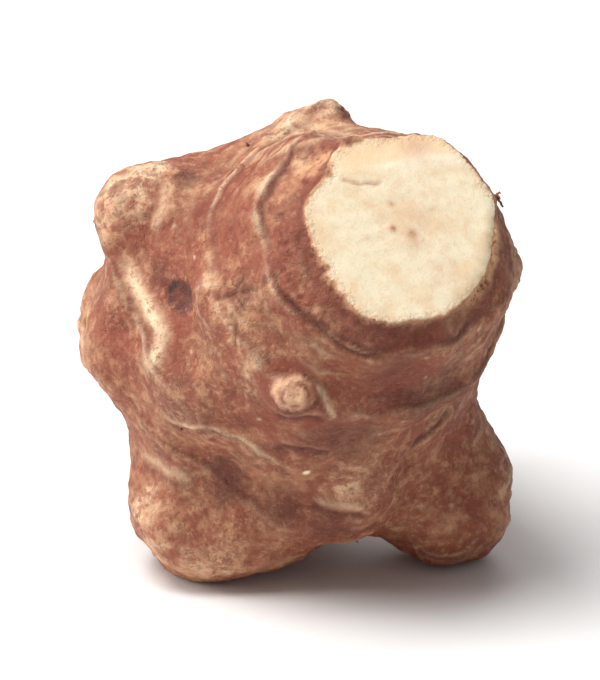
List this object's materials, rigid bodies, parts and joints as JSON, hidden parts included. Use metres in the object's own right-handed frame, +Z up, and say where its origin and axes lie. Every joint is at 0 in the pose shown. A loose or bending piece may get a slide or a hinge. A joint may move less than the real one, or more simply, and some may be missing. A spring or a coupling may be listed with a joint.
{
  "type": "jerusalem artichoke tuber",
  "caption": "Knobbly Jerusalem artichoke tuber with stepped collars, round side knobs and buds, and a flat cream cut at its upper end; a raw root vegetable to cook or slice.",
  "frame": {"origin": "on the surface it rests on, below the middle of the tuber's box", "axes": "+Z up; the cut end leans up and towards -Y and +X; +X to the right when the cut is seen from the front"},
  "size_m": [0.069, 0.0694, 0.0769],
  "materials": {
    "skin": "thin tan and reddish-brown skin, matte to faintly waxy, with cream ridges, dark hollows and leaf scars; moist cream flesh on the cut"
  },
  "bodies": {
    "root": {"tuber": "skin"}
  },
  "joints": []
}
